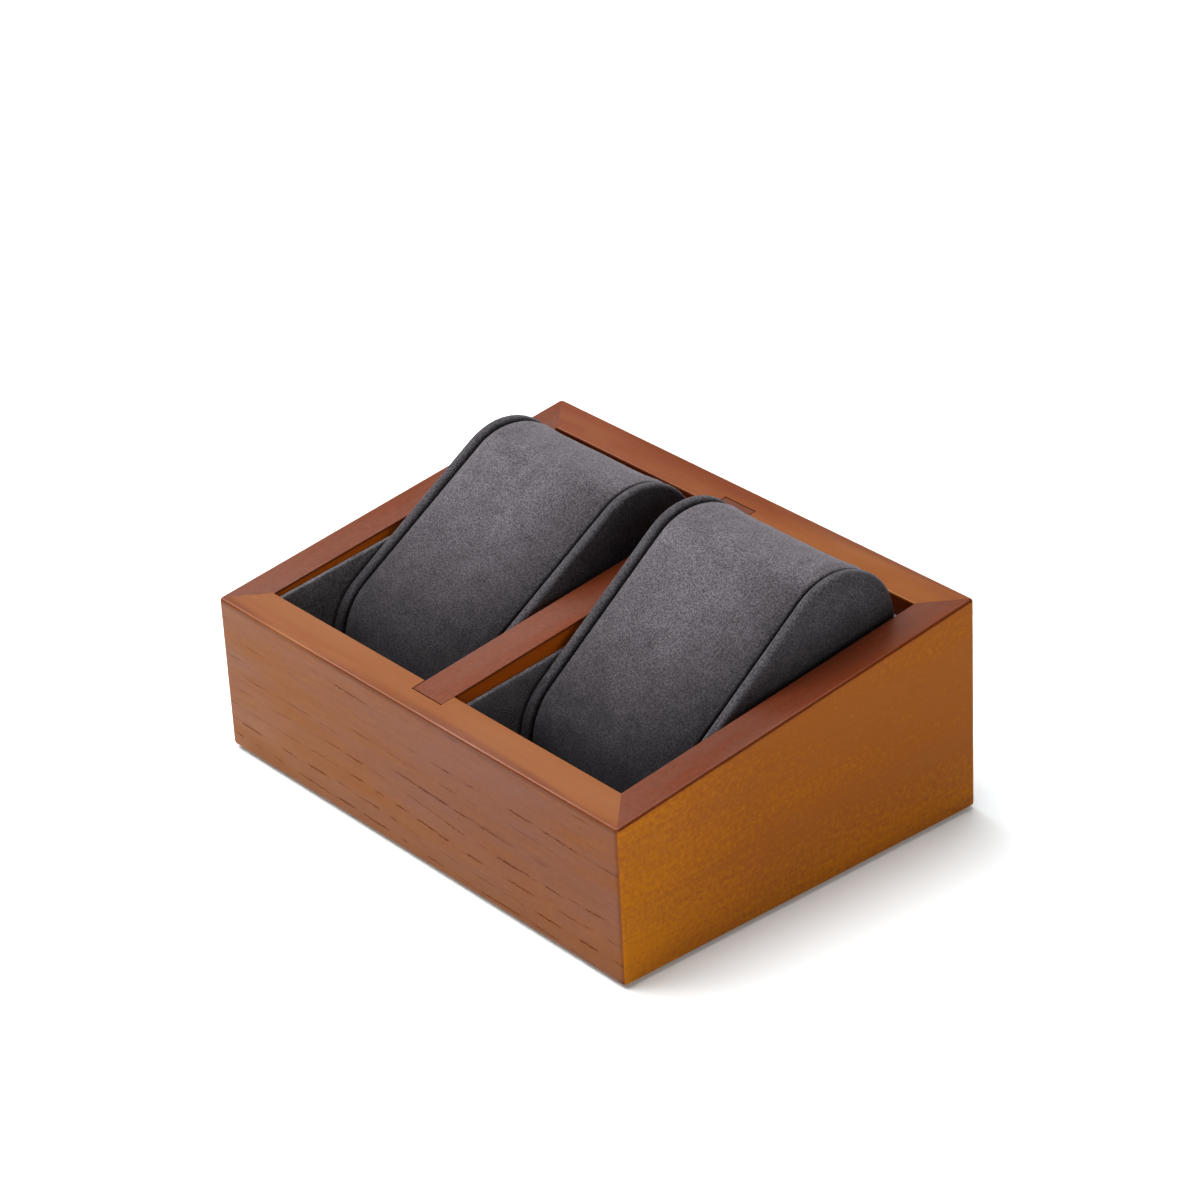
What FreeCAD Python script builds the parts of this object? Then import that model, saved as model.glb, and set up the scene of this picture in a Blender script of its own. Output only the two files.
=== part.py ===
"""Open two-bay watch box: a low sloping wooden case with two suede pillows that lift out.

Frame: millimetres, +X along the length, -Y to the front (low) side, +Z up.
The origin is the middle of the underside.
"""
import FreeCAD, Part
import math
import os
import Sketcher
from FreeCAD import Vector

# Driving sizes in millimetres, apart from the two pillow angles in degrees.
SIZES = {
    # Wooden case
    "case_length": 150.0,
    "case_depth": 110.6,
    "front_height": 41.4,
    "rear_height": 56.6,
    "wall_thickness": 10.0,
    "corner_radius": 1.2,
    "rim_radius": 0.8,
    "foot_radius": 1.0,
    "inner_edge_radius": 0.4,
    # Divider between the bays, housed in both long walls
    "divider_thickness": 11.0,
    "housing_depth": 4.2,
    "housing_end_gap": 0.25,
    # Plywood base, let into a rebate, and the felt under it
    "base_thickness": 4.0,
    "rebate_width": 5.0,
    "base_fit_gap": 0.15,
    "felt_thickness": 0.8,
    "felt_margin": 1.6,
    # Suede-covered boards that line each bay
    "floor_liner_thickness": 2.9,
    "side_liner_thickness": 1.2,
    "rear_liner_thickness": 3.0,
    "liner_edge_radius": 0.4,
    "wall_liner_front_drop": 1.4,
    "wall_liner_rear_drop": 3.8,
    "divider_liner_front_drop": 3.3,
    "divider_liner_rear_drop": 6.0,
    "end_liner_drop": 5.0,
    # Pillows, flat ovals that lean back on the rear liner
    "pillow_side_gap": 1.05,
    "pillow_rest_gap": 0.3,
    "left_pillow_rear_gap": 0.3,
    "right_pillow_rear_gap": 0.7,
    "nose_room": 14.9,
    "cushion_radius": 17.2,
    "cushion_waist_depth": 0.6,
    "cushion_flare_width": 9.0,
    "band_thickness": 0.9,
    "panel_thickness": 3.0,
    "panel_lip": 0.3,
    "panel_outer_bevel": 0.9,
    "panel_inner_bevel": 0.7,
    "panel_suede_thickness": 0.5,
    "panel_turnover": 4.0,
    "left_pillow_angle": 32.5,
    "right_pillow_angle": 37.6,
    # How far a cutting tool runs past what it cuts
    "cut_overrun": 5.0,
}

# An edge counts as a long one of its face above this share of the longest.
LONG_EDGE_SHARE = 0.5
# A face counts as level where its normal's upright part is above this share.
LEVEL_SHARE = 0.9

doc = FreeCAD.newDocument("WatchBox")
sheet = doc.addObject("Spreadsheet::Sheet", "Sizes")
for row, (alias, number) in enumerate(SIZES.items(), start=1):
    sheet.set(f"A{row}", alias)
    sheet.set(f"B{row}", str(number))
    sheet.setAlias(f"B{row}", alias)
doc.recompute()

subparts = []


class Term:
    """A length kept twice: as an expression of sheet cells and as its present number."""

    def __init__(self, text, value):
        self.text = text
        self.value = value

    @staticmethod
    def of(other):
        return other if isinstance(other, Term) else Term(str(other), float(other))

    def join(self, sign, other, value):
        return Term(f"({self.text} {sign} {other.text})", value)

    def __add__(self, other):
        other = Term.of(other)
        return self.join("+", other, self.value + other.value)

    def __sub__(self, other):
        other = Term.of(other)
        return self.join("-", other, self.value - other.value)

    def __mul__(self, other):
        other = Term.of(other)
        return self.join("*", other, self.value * other.value)

    def __truediv__(self, other):
        other = Term.of(other)
        return self.join("/", other, self.value / other.value)

    def __neg__(self):
        return Term(f"(0 - {self.text})", -self.value)


def size(alias):
    """The sheet cell with this alias."""
    return Term(f"Sizes.{alias}", SIZES[alias])


def cosine(angle):
    return Term(f"cos({angle.text})", math.cos(math.radians(angle.value)))


def bind(target, path, term):
    """Ties one property of an object to the sheet."""
    target.setExpression(path, term.text)


# Sketch tools

def new_body(label):
    body = doc.addObject("PartDesign::Body", label)
    body.Label = label
    return body


def new_sketch(body, label, role, offset=None):
    """A sketch on one of the body's own origin planes, moved along its normal by offset."""
    plane = next(p for p in body.Origin.OriginFeatures if p.Role == role)
    sketch = body.newObject("Sketcher::SketchObject", label)
    sketch.AttachmentSupport = (plane, "")
    sketch.MapMode = "FlatFace"
    if offset is not None:
        bind(sketch, "AttachmentOffset.Base.z", offset)
    return sketch


def fix_point(sketch, geometry, end, x, y):
    """Dimensions one point of the sketch from its origin."""
    for kind, term in (("DistanceX", x), ("DistanceY", y)):
        rule = Sketcher.Constraint(kind, -1, 1, geometry, end, term.value)
        number = sketch.addConstraint(rule)
        sketch.setExpression(f"Constraints[{number}]", term.text)


def fix_radius(sketch, geometry, radius):
    number = sketch.addConstraint(Sketcher.Constraint("Radius", geometry, radius.value))
    sketch.setExpression(f"Constraints[{number}]", radius.text)


def polygon_sketch(body, label, role, corners, offset=None):
    """A closed outline of straight lines whose corners are all dimensioned."""
    sketch = new_sketch(body, label, role, offset)
    points = [Vector(x.value, y.value, 0) for x, y in corners]
    last = len(points) - 1
    for index, start in enumerate(points):
        following = points[0 if index == last else index + 1]
        sketch.addGeometry(Part.LineSegment(start, following))
    for index in range(len(points)):
        following = 0 if index == last else index + 1
        sketch.addConstraint(Sketcher.Constraint("Coincident", index, 2, following, 1))
    for index, (x, y) in enumerate(corners):
        fix_point(sketch, index, 1, x, y)
    return sketch


def rounded_outline(sketch, centres, radius):
    """Quarter arcs of one radius about the centres, anticlockwise, joined by tangent lines.

    Each centre comes with the direction, in quarter turns, in which its arc starts.
    """
    arcs = []
    places = [(x, y) for x, y, turn in centres]
    for index, (x, y, turn) in enumerate(centres):
        circle = Part.Circle(Vector(x.value, y.value, 0), Vector(0, 0, 1), radius.value)
        start = turn * math.pi / 2
        arcs.append(sketch.addGeometry(Part.ArcOfCircle(circle, start, start + math.pi / 2)))
        fix_point(sketch, arcs[-1], 3, x, y)
        if (x, y) not in places[:index]:
            fix_radius(sketch, arcs[-1], radius)
    for index, arc in enumerate(arcs):
        after = (index + 1) % len(arcs)
        following = arcs[after]
        if places[index] == places[after]:
            sketch.addConstraint(Sketcher.Constraint("Coincident", arc, 2, following, 1))
            continue
        here = sketch.Geometry[arc].EndPoint
        there = sketch.Geometry[following].StartPoint
        line = sketch.addGeometry(Part.LineSegment(here, there))
        sketch.addConstraint(Sketcher.Constraint("Tangent", arc, 2, line, 1))
        sketch.addConstraint(Sketcher.Constraint("Tangent", line, 2, following, 1))
    return sketch


def rounded_rectangle(body, label, length, depth, radius, offset):
    """A centred rectangle with rounded corners, in a plane parallel to the table."""
    sketch = new_sketch(body, label, "XY_Plane", offset)
    x = length / 2 - radius
    y = depth / 2 - radius
    return rounded_outline(sketch, [(x, y, 0), (-x, y, 1), (-x, -y, 2), (x, -y, 3)], radius)


def oval_sketch(body, label, radius, offset):
    """The pillow's flat oval, about the nose axis at the origin and the crown axis along +Y."""
    sketch = new_sketch(body, label, "YZ_Plane", offset)
    nose = Term("0", 0.0)
    centres = [(OVAL_CENTRES, nose, 0), (nose, nose, 1), (nose, nose, 2), (OVAL_CENTRES, nose, 3)]
    rounded_outline(sketch, centres, radius)
    for arc in (0, 2):
        sketch.addConstraint(Sketcher.Constraint("Horizontal", arc, 1, arc, 3))
    return sketch


# Solid tools

def pad(body, sketch, length, both_ways=False):
    """Raises a sketch along its normal, or half each way."""
    feature = body.newObject("PartDesign::Pad", f"{body.Label}_{sketch.Label}_pad")
    feature.Profile = sketch
    feature.Midplane = both_ways
    bind(feature, "Length", length)
    sketch.Visibility = False
    doc.recompute()
    return feature


def pocket(body, sketch, length, both_ways=False, upwards=False):
    """Cuts with a sketch and makes sure that something was cut."""
    before = body.Shape.Volume
    feature = body.newObject("PartDesign::Pocket", f"{body.Label}_{sketch.Label}_pocket")
    feature.Profile = sketch
    feature.Midplane = both_ways
    feature.Reversed = upwards
    bind(feature, "Length", length)
    doc.recompute()
    if body.Shape.Volume > before * (1 - 1e-9):
        raise RuntimeError(f"{feature.Label} cuts nothing")
    return feature


def round_edges(body, label, radius, choose):
    """Rounds the edges that choose picks out of the body's shape so far."""
    work_edges(body, "PartDesign::Fillet", "Radius", label, radius, choose)


def bevel_edges(body, label, width, choose):
    """Bevels the edges that choose picks out of the body's shape so far."""
    work_edges(body, "PartDesign::Chamfer", "Size", label, width, choose)


def work_edges(body, kind, path, label, amount, choose):
    base = body.Tip
    shape = base.Shape
    chosen = choose(shape)
    names = [f"Edge{number}" for number, edge in enumerate(shape.Edges, start=1)
             if any(edge.isSame(other) for other in chosen)]
    feature = body.newObject(kind, f"{body.Label}_{label}")
    feature.Base = (base, names)
    bind(feature, path, amount)
    doc.recompute()


def top_face(shape):
    """The top face, level or sloping."""
    flat = [face for face in shape.Faces if isinstance(face.Surface, Part.Plane)]
    level = [face for face in flat if abs(face.Surface.Axis.z) > LEVEL_SHARE]
    return max(level, key=lambda face: face.CenterOfMass.z)


def top_outline(shape):
    return top_face(shape).OuterWire.Edges


def top_opening(shape):
    return min(top_face(shape).Wires, key=lambda wire: wire.Length).Edges


def top_long_edges(shape):
    edges = top_face(shape).Edges
    longest = max(edge.Length for edge in edges)
    return [edge for edge in edges if edge.Length > longest * LONG_EDGE_SHARE]


def bottom_outline(shape):
    return min(shape.Faces, key=lambda face: face.CenterOfMass.z).OuterWire.Edges


def outline_towards(side):
    """Picks the outline of the face that lies furthest along X on that side (-1 or 1)."""
    return lambda shape: max(shape.Faces, key=lambda face: face.CenterOfMass.x * side).Edges


def combine(kind, label, base, tool):
    """A boolean of two objects of the document."""
    result = doc.addObject(kind, label)
    result.Label = label
    result.Base = base
    result.Tool = tool
    doc.recompute()
    return result


def place(piece, x, y, z, angle=None):
    """Moves a piece, and turns it about the X direction through its own origin."""
    piece.Placement.Rotation = FreeCAD.Rotation(Vector(1, 0, 0), angle.value if angle else 0)
    for axis, term in zip("xyz", (x, y, z)):
        bind(piece, f"Placement.Base.{axis}", term)
    if angle is not None:
        bind(piece, "Placement.Rotation.Angle", angle)


def keep(piece):
    """Hands one sub-part over to the export."""
    subparts.append(piece)
    return piece


# Places that follow from the driving sizes. The front is towards -Y.
ZERO = Term("0", 0.0)
HALF_LENGTH = size("case_length") / 2
HALF_DEPTH = size("case_depth") / 2
WALL = size("wall_thickness")
INNER_X = HALF_LENGTH - WALL
INNER_Y = HALF_DEPTH - WALL
FOOT_Z = size("felt_thickness")
BASE_TOP_Z = FOOT_Z + size("base_thickness")
FLOOR_Z = BASE_TOP_Z + size("floor_liner_thickness")
TOP_Z = FOOT_Z + size("rear_height")
SLOPE = (size("rear_height") - size("front_height")) / size("case_depth")
OVERRUN = size("cut_overrun")
BAY_INNER_X = size("divider_thickness") / 2
SIDE_LINER = size("side_liner_thickness")
BAY_CLEAR_WIDTH = INNER_X - BAY_INNER_X - SIDE_LINER * 2
BAY_MIDDLE_X = (INNER_X + BAY_INNER_X) / 2
FRONT_LINER_FACE_Y = -INNER_Y + SIDE_LINER
REAR_LINER_FACE_Y = INNER_Y - size("rear_liner_thickness")
PANEL_RADIUS = size("cushion_radius") + size("panel_lip")
WAIST_RADIUS = size("cushion_radius") - size("cushion_waist_depth")
CORE_RADIUS = WAIST_RADIUS - size("band_thickness")
CUSHION_WIDTH = BAY_CLEAR_WIDTH - size("pillow_side_gap") * 2 - size("panel_thickness") * 2
# The right pillow fills its bay from the rear lining to the room kept free before its nose.
LEFT_CROWN_Y = REAR_LINER_FACE_Y - size("left_pillow_rear_gap") - PANEL_RADIUS
RIGHT_CROWN_Y = REAR_LINER_FACE_Y - size("right_pillow_rear_gap") - PANEL_RADIUS
NOSE_Y = FRONT_LINER_FACE_Y + size("nose_room") + PANEL_RADIUS
OVAL_CENTRES = (RIGHT_CROWN_Y - NOSE_Y) / cosine(size("right_pillow_angle"))


def rim_height(y):
    """Height of the sloping rim plane at a depth."""
    return FOOT_Z + size("front_height") + SLOPE * (y + HALF_DEPTH)


# Wooden case

def make_carcass():
    """The four walls as one ring, as it is sanded after the glue-up. The walls are cut from it."""
    body = new_body("carcass")
    outline = rounded_rectangle(body, "outline", size("case_length"), size("case_depth"),
                                size("corner_radius"), FOOT_Z)
    pad(body, outline, size("rear_height"))

    past_front = -HALF_DEPTH - OVERRUN
    past_rear = HALF_DEPTH + OVERRUN
    slope = polygon_sketch(body, "slope", "YZ_Plane", [
        (past_front, rim_height(past_front)),
        (past_rear, rim_height(past_rear)),
        (past_rear, rim_height(past_rear) + OVERRUN),
        (past_front, rim_height(past_rear) + OVERRUN)])
    pocket(body, slope, size("case_length") + OVERRUN * 2, both_ways=True)
    round_edges(body, "rim_round", size("rim_radius"), top_outline)
    round_edges(body, "foot_round", size("foot_radius"), bottom_outline)

    bays = rectangle_sketch(body, "bays", INNER_X, INNER_Y, FOOT_Z)
    pocket(body, bays, size("rear_height") + OVERRUN, upwards=True)
    rebate_x = INNER_X + size("rebate_width")
    rebate_y = INNER_Y + size("rebate_width")
    rebate = rectangle_sketch(body, "rebate", rebate_x, rebate_y, FOOT_Z)
    pocket(body, rebate, size("base_thickness"), upwards=True)
    round_edges(body, "inner_round", size("inner_edge_radius"), top_opening)
    return body


def rectangle_sketch(body, label, half_x, half_y, offset):
    corners = [(-half_x, -half_y), (half_x, -half_y), (half_x, half_y), (-half_x, half_y)]
    return polygon_sketch(body, label, "XY_Plane", corners, offset)


def make_long_wall(label, side, carcass):
    """The front (side -1) or rear (side 1) wall, mitred, with a housing for the divider."""
    wedge = new_body(f"{label}_wedge")
    reach = WALL + OVERRUN
    outer_y = (HALF_DEPTH + OVERRUN) * side
    inner_y = (HALF_DEPTH - reach) * side
    corners = [
        (-(HALF_LENGTH + OVERRUN), outer_y),
        (HALF_LENGTH + OVERRUN, outer_y),
        (HALF_LENGTH - reach, inner_y),
        (-(HALF_LENGTH - reach), inner_y)]
    pad(wedge, polygon_sketch(wedge, "mitres", "XY_Plane", corners), TOP_Z + OVERRUN)
    housing_y = (INNER_Y + size("housing_depth")) * side
    housing = polygon_sketch(wedge, "housing", "XY_Plane", [
        (-BAY_INNER_X, inner_y),
        (BAY_INNER_X, inner_y),
        (BAY_INNER_X, housing_y),
        (-BAY_INNER_X, housing_y)], BASE_TOP_Z)
    pocket(wedge, housing, TOP_Z + OVERRUN, upwards=True)
    return keep(combine("Part::Common", label, carcass, wedge))


def make_short_wall(label, side, carcass):
    """The left (side -1) or right (side 1) wall, mitred."""
    wedge = new_body(f"{label}_wedge")
    reach = WALL + OVERRUN
    outer_x = (HALF_LENGTH + OVERRUN) * side
    inner_x = (HALF_LENGTH - reach) * side
    corners = [
        (outer_x, -(HALF_DEPTH + OVERRUN)),
        (outer_x, HALF_DEPTH + OVERRUN),
        (inner_x, HALF_DEPTH - reach),
        (inner_x, -(HALF_DEPTH - reach))]
    pad(wedge, polygon_sketch(wedge, "mitres", "XY_Plane", corners), TOP_Z + OVERRUN)
    return keep(combine("Part::Common", label, carcass, wedge))


def make_divider():
    """A board on edge whose ends stop just short of the ends of their housings."""
    body = new_body("divider")
    end = INNER_Y + size("housing_depth") - size("housing_end_gap")
    profile = polygon_sketch(body, "profile", "YZ_Plane", [
        (-end, BASE_TOP_Z), (end, BASE_TOP_Z), (end, rim_height(end)), (-end, rim_height(-end))])
    pad(body, profile, size("divider_thickness"), both_ways=True)
    round_edges(body, "top_round", size("inner_edge_radius"), top_long_edges)
    return keep(body)


def make_base():
    """The plywood base in its rebate, and the felt sheet under the whole case."""
    base = new_body("base_panel")
    margin = size("rebate_width") - size("base_fit_gap")
    outline = rectangle_sketch(base, "outline", INNER_X + margin, INNER_Y + margin, FOOT_Z)
    pad(base, outline, size("base_thickness"))
    keep(base)

    felt = new_body("underside_felt")
    length = size("case_length") - size("felt_margin") * 2
    depth = size("case_depth") - size("felt_margin") * 2
    sheet_outline = rounded_rectangle(felt, "outline", length, depth,
                                      size("corner_radius"), ZERO)
    pad(felt, sheet_outline, size("felt_thickness"))
    keep(felt)


# Liners

def make_side_liner(label, outer_face, away, front_drop, rear_drop):
    """A board on a bay's side, from the wood at outer_face towards away (-1 or 1)."""
    body = new_body(label)
    profile = polygon_sketch(body, "profile", "YZ_Plane", [
        (-INNER_Y, FLOOR_Z),
        (INNER_Y, FLOOR_Z),
        (INNER_Y, rim_height(INNER_Y) - rear_drop),
        (-INNER_Y, rim_height(-INNER_Y) - front_drop)])
    pad(body, profile, SIDE_LINER, both_ways=True)
    round_top(body)
    place(body, outer_face + SIDE_LINER / 2 * away, ZERO, ZERO)
    return keep(body)


def make_end_liner(label, bay_x, y, thickness):
    """A board on a bay's front or rear, between the two side liners."""
    body = new_body(label)
    half_x = BAY_CLEAR_WIDTH / 2
    profile = polygon_sketch(body, "profile", "XY_Plane", [
        (-half_x, -thickness / 2),
        (half_x, -thickness / 2),
        (half_x, thickness / 2),
        (-half_x, thickness / 2)])
    pad(body, profile, rim_height(y) - size("end_liner_drop") - FLOOR_Z)
    round_top(body)
    place(body, bay_x, y, FLOOR_Z)
    return keep(body)


def round_top(body):
    """Rounds the two long top edges of an upright board, where the suede folds over."""
    round_edges(body, "top_round", size("liner_edge_radius"), top_long_edges)


def make_floor_liner(label, bay_x):
    body = new_body(label)
    half_x = BAY_CLEAR_WIDTH / 2 + SIDE_LINER
    pad(body, rectangle_sketch(body, "outline", half_x, INNER_Y, ZERO),
        size("floor_liner_thickness"))
    place(body, bay_x, ZERO, BASE_TOP_Z)
    return keep(body)


def make_bay_liners(bay, side):
    """Five boards in one bay. Side is -1 for the left bay and 1 for the right one."""
    bay_x = BAY_MIDDLE_X * side
    make_floor_liner(f"{bay}_floor_liner", bay_x)
    make_side_liner(f"{bay}_wall_liner", INNER_X * side, -side,
                    size("wall_liner_front_drop"), size("wall_liner_rear_drop"))
    make_side_liner(f"{bay}_divider_liner", BAY_INNER_X * side, side,
                    size("divider_liner_front_drop"), size("divider_liner_rear_drop"))
    front_y = -INNER_Y + SIDE_LINER / 2
    rear_y = INNER_Y - size("rear_liner_thickness") / 2
    make_end_liner(f"{bay}_front_liner", bay_x, front_y, SIDE_LINER)
    make_end_liner(f"{bay}_rear_liner", bay_x, rear_y, size("rear_liner_thickness"))


# Pillows, each built about its own nose axis and then leaned back

def make_band(pillow):
    """The suede band: a flat oval tube, drawn in along its middle, that flares out to each end."""
    outside = new_body(f"{pillow}_band_outside")
    end = CUSHION_WIDTH / 2
    flare = end - size("cushion_flare_width")
    end_radius = size("cushion_radius")
    rings = [(-end, end_radius), (-flare, WAIST_RADIUS), (flare, WAIST_RADIUS), (end, end_radius)]
    sections = [oval_sketch(outside, f"section_{number}", radius, across)
                for number, (across, radius) in enumerate(rings, start=1)]
    form = outside.newObject("PartDesign::AdditiveLoft", f"{pillow}_band_form")
    form.Profile = sections[0]
    form.Sections = sections[1:]
    form.Ruled = True
    doc.recompute()
    return combine("Part::Cut", f"{pillow}_band", outside, make_core(f"{pillow}_band_inside"))


def make_core(label):
    """The straight foam core, whose form also hollows out the band."""
    body = new_body(label)
    pad(body, oval_sketch(body, "outline", CORE_RADIUS, ZERO), CUSHION_WIDTH, both_ways=True)
    return body


def end_panel_form(label, inset, side):
    """A thick oval beside the cushion's end. Side is -1 or 1 along X.

    Inset is the material that it leaves round itself on every face of the panel.
    """
    body = new_body(label)
    middle = (CUSHION_WIDTH / 2 + size("panel_thickness") / 2) * side
    outline = oval_sketch(body, "outline", PANEL_RADIUS - inset, middle)
    pad(body, outline, size("panel_thickness") - inset * 2, both_ways=True)
    return body


def make_end_panel(label, side):
    """A stiff board, and the suede pulled over it and turned in behind, open in the middle."""
    suede = size("panel_suede_thickness")
    board = end_panel_form(f"{label}_board", suede, side)
    outside = end_panel_form(f"{label}_outside", ZERO, side)
    bevel_edges(outside, "outer_bevel", size("panel_outer_bevel"), outline_towards(side))
    bevel_edges(outside, "inner_bevel", size("panel_inner_bevel"), outline_towards(-side))
    hollow = end_panel_form(f"{label}_hollow", suede, side)
    opening = oval_sketch(hollow, "opening", PANEL_RADIUS - size("panel_turnover"),
                          CUSHION_WIDTH / 2 * side)
    pad(hollow, opening, suede * 2, both_ways=True)
    return [board, combine("Part::Cut", f"{label}_cover", outside, hollow)]


def make_pillow(pillow, bay_side, crown_y, angle):
    """Foam core, suede band round it, and a suede-covered board on each end."""
    pieces = [make_core(f"{pillow}_core"), make_band(pillow)]
    for hand, side in (("left", -1), ("right", 1)):
        pieces += make_end_panel(f"{pillow}_{hand}", side)

    nose_y = crown_y - OVAL_CENTRES * cosine(angle)
    nose_z = FLOOR_Z + size("pillow_rest_gap") + PANEL_RADIUS
    for piece in pieces:
        place(piece, BAY_MIDDLE_X * bay_side, nose_y, nose_z, angle)
        keep(piece)


def check_document():
    """Stops if any object failed or any sub-part isn't one valid solid."""
    for item in doc.Objects:
        if "Invalid" in item.State or "Error" in item.State:
            raise RuntimeError(f"{item.Label} failed: {item.State}")
    for piece in subparts:
        shape = piece.Shape
        if shape.isNull() or not shape.isValid() or len(shape.Solids) != 1:
            raise RuntimeError(f"{piece.Label} isn't one valid solid")


def export():
    os.makedirs("parts", exist_ok=True)
    for piece in subparts:
        piece.Shape.exportStep(os.path.join("parts", f"{piece.Label}.step"))
        box = piece.Shape.BoundBox
        print(f"{piece.Label:28s} volume {piece.Shape.Volume:10.1f}  "
              f"z {box.ZMin:6.2f} to {box.ZMax:6.2f}")


ring = make_carcass()
make_long_wall("front_wall", -1, ring)
make_long_wall("rear_wall", 1, ring)
make_short_wall("left_wall", -1, ring)
make_short_wall("right_wall", 1, ring)
make_divider()
make_base()
make_bay_liners("left_bay", -1)
make_bay_liners("right_bay", 1)
make_pillow("left_pillow", -1, LEFT_CROWN_Y, size("left_pillow_angle"))
make_pillow("right_pillow", 1, RIGHT_CROWN_Y, size("right_pillow_angle"))
doc.recompute()
check_document()
export()
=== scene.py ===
"""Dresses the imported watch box: stained ash, grey microfibre suede, felt, and a pale studio round them.

Everything is in metres, in the frame that the construction gives: +X along the length, -Y to the front
(low) side, +Z up. Sizes and places come from the frame's own nodes wherever a node has them.
"""

import math
from typing import NamedTuple

import bmesh
import bpy
import numpy as np
from mathutils import Matrix, Vector


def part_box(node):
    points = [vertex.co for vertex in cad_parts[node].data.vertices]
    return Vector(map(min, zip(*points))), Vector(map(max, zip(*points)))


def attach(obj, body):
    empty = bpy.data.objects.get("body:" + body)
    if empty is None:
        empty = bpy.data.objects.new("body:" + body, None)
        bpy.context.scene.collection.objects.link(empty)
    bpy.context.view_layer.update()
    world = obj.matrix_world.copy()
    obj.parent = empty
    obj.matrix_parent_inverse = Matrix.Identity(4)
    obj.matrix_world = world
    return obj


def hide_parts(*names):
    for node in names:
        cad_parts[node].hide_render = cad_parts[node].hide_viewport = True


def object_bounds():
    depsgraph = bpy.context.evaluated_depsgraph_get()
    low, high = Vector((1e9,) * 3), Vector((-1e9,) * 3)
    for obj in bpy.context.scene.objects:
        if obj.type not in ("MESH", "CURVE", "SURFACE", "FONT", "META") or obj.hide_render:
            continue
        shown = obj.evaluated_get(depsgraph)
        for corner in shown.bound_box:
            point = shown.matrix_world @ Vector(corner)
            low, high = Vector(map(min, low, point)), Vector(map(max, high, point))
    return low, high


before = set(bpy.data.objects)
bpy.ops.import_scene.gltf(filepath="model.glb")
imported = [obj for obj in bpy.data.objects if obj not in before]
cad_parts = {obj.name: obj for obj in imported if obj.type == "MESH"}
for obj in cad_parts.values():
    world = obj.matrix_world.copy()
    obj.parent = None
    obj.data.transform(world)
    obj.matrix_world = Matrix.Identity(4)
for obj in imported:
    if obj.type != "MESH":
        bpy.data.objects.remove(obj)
cad_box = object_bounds()

bl_info = {
    "name": "Watch Box Finishes",
    "version": (1, 0, 0),
    "blender": (4, 5, 0),
    "location": "3D View > Sidebar > Watch Box",
    "description": "Finishes an open watch box with two loose pillows",
    "category": "Object",
}

MM = 0.001
BAYS = {"left": -1, "right": 1}
ENDS = {"left": -1, "right": 1}
WHITE = (1.0, 1.0, 1.0)


def hex_colour(code):
    """Linear red, green and blue of an sRGB hex value."""
    shares = [int(code[start:start + 2], 16) / 255 for start in (0, 2, 4)]
    return tuple(s / 12.92 if s <= 0.04045 else ((s + 0.055) / 1.055) ** 2.4 for s in shares)


def colour_property(name, description, code):
    return bpy.props.FloatVectorProperty(name=name, description=description, subtype="COLOR", size=3,
                                         min=0, max=1, default=hex_colour(code))


def length_property(name, description, millimetres):
    return bpy.props.FloatProperty(name=name, description=description, subtype="DISTANCE", unit="LENGTH",
                                   precision=5, default=millimetres * MM)


def angle_property(name, description, degrees):
    return bpy.props.FloatProperty(name=name, description=description, subtype="ANGLE", unit="ROTATION",
                                   default=math.radians(degrees))


def number_property(name, description, number, low=0.0, high=100.0):
    return bpy.props.FloatProperty(name=name, description=description, default=number, min=low, max=high)


class WatchBoxWood(bpy.types.PropertyGroup):
    """Stained ash of the case."""

    face_light: colour_property("Faces, light", "Clear stain on every board but the right one", "905B2E")
    face_dark: colour_property("Faces, dark", "Deep stain on every board but the right one", "7E4A2E")
    # The right board's stains are partly its own and partly painted light: lighter and more golden than the
    # other boards, for light that the right face lacks.
    right_light: colour_property("Right, light", "Clear stain on the right board's outer face", "B57926")
    right_dark: colour_property("Right, dark", "Deep stain on the right board", "9A622D")
    # Painted light: the faces inside the case are drawn lighter and more golden than the same boards outside,
    # for light from the right.
    inner_face_painted_light: colour_property("Inner faces", "Stain of the faces inside the case", "C17126")
    front_rim_light: colour_property("Front rim, light", "Clear stain on the front rim", "835432")
    front_rim_dark: colour_property("Front rim, dark", "Deep stain on the front and rear rims", "804C15")
    side_rim_light: colour_property("Side rims, light", "Clear stain on the other rims", "744028")
    side_rim_dark: colour_property("Side rims, dark", "Deep stain on the side rims and the divider", "63341E")
    # The same dark colour on the rear wall's inner face is painted shade.
    rim_edge_and_rear_shade: colour_property("Rim edge", "Stain that gathers along the rim's outer edge", "6C3514")
    pore: colour_property("Pores", "Stain that stays in the open pores", "4E200E")
    ring_spacing: length_property("Ring spacing", "Distance between rows of open pores", 4.6)
    row_share: number_property("Row width", "Share of the ring spacing that its row of pores fills", 0.08)
    pore_width: length_property("Pore width", "Width of an open pore across the grain", 0.45)
    pore_length: length_property("Pore length", "Length of an open pore along the grain", 5.5)
    pore_depth: length_property("Pore depth", "How far a pore lies below the lacquer", 0.04)
    face_gloss: number_property("Gloss, long faces", "Reflection of the lacquer on the long boards", 0.3)
    side_gloss: number_property("Gloss, short faces", "Reflection of the lacquer on the short boards", 0.06)
    rim_gloss: number_property("Gloss, rim", "Reflection of the lacquer on the rubbed rim", 0.38)


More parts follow.
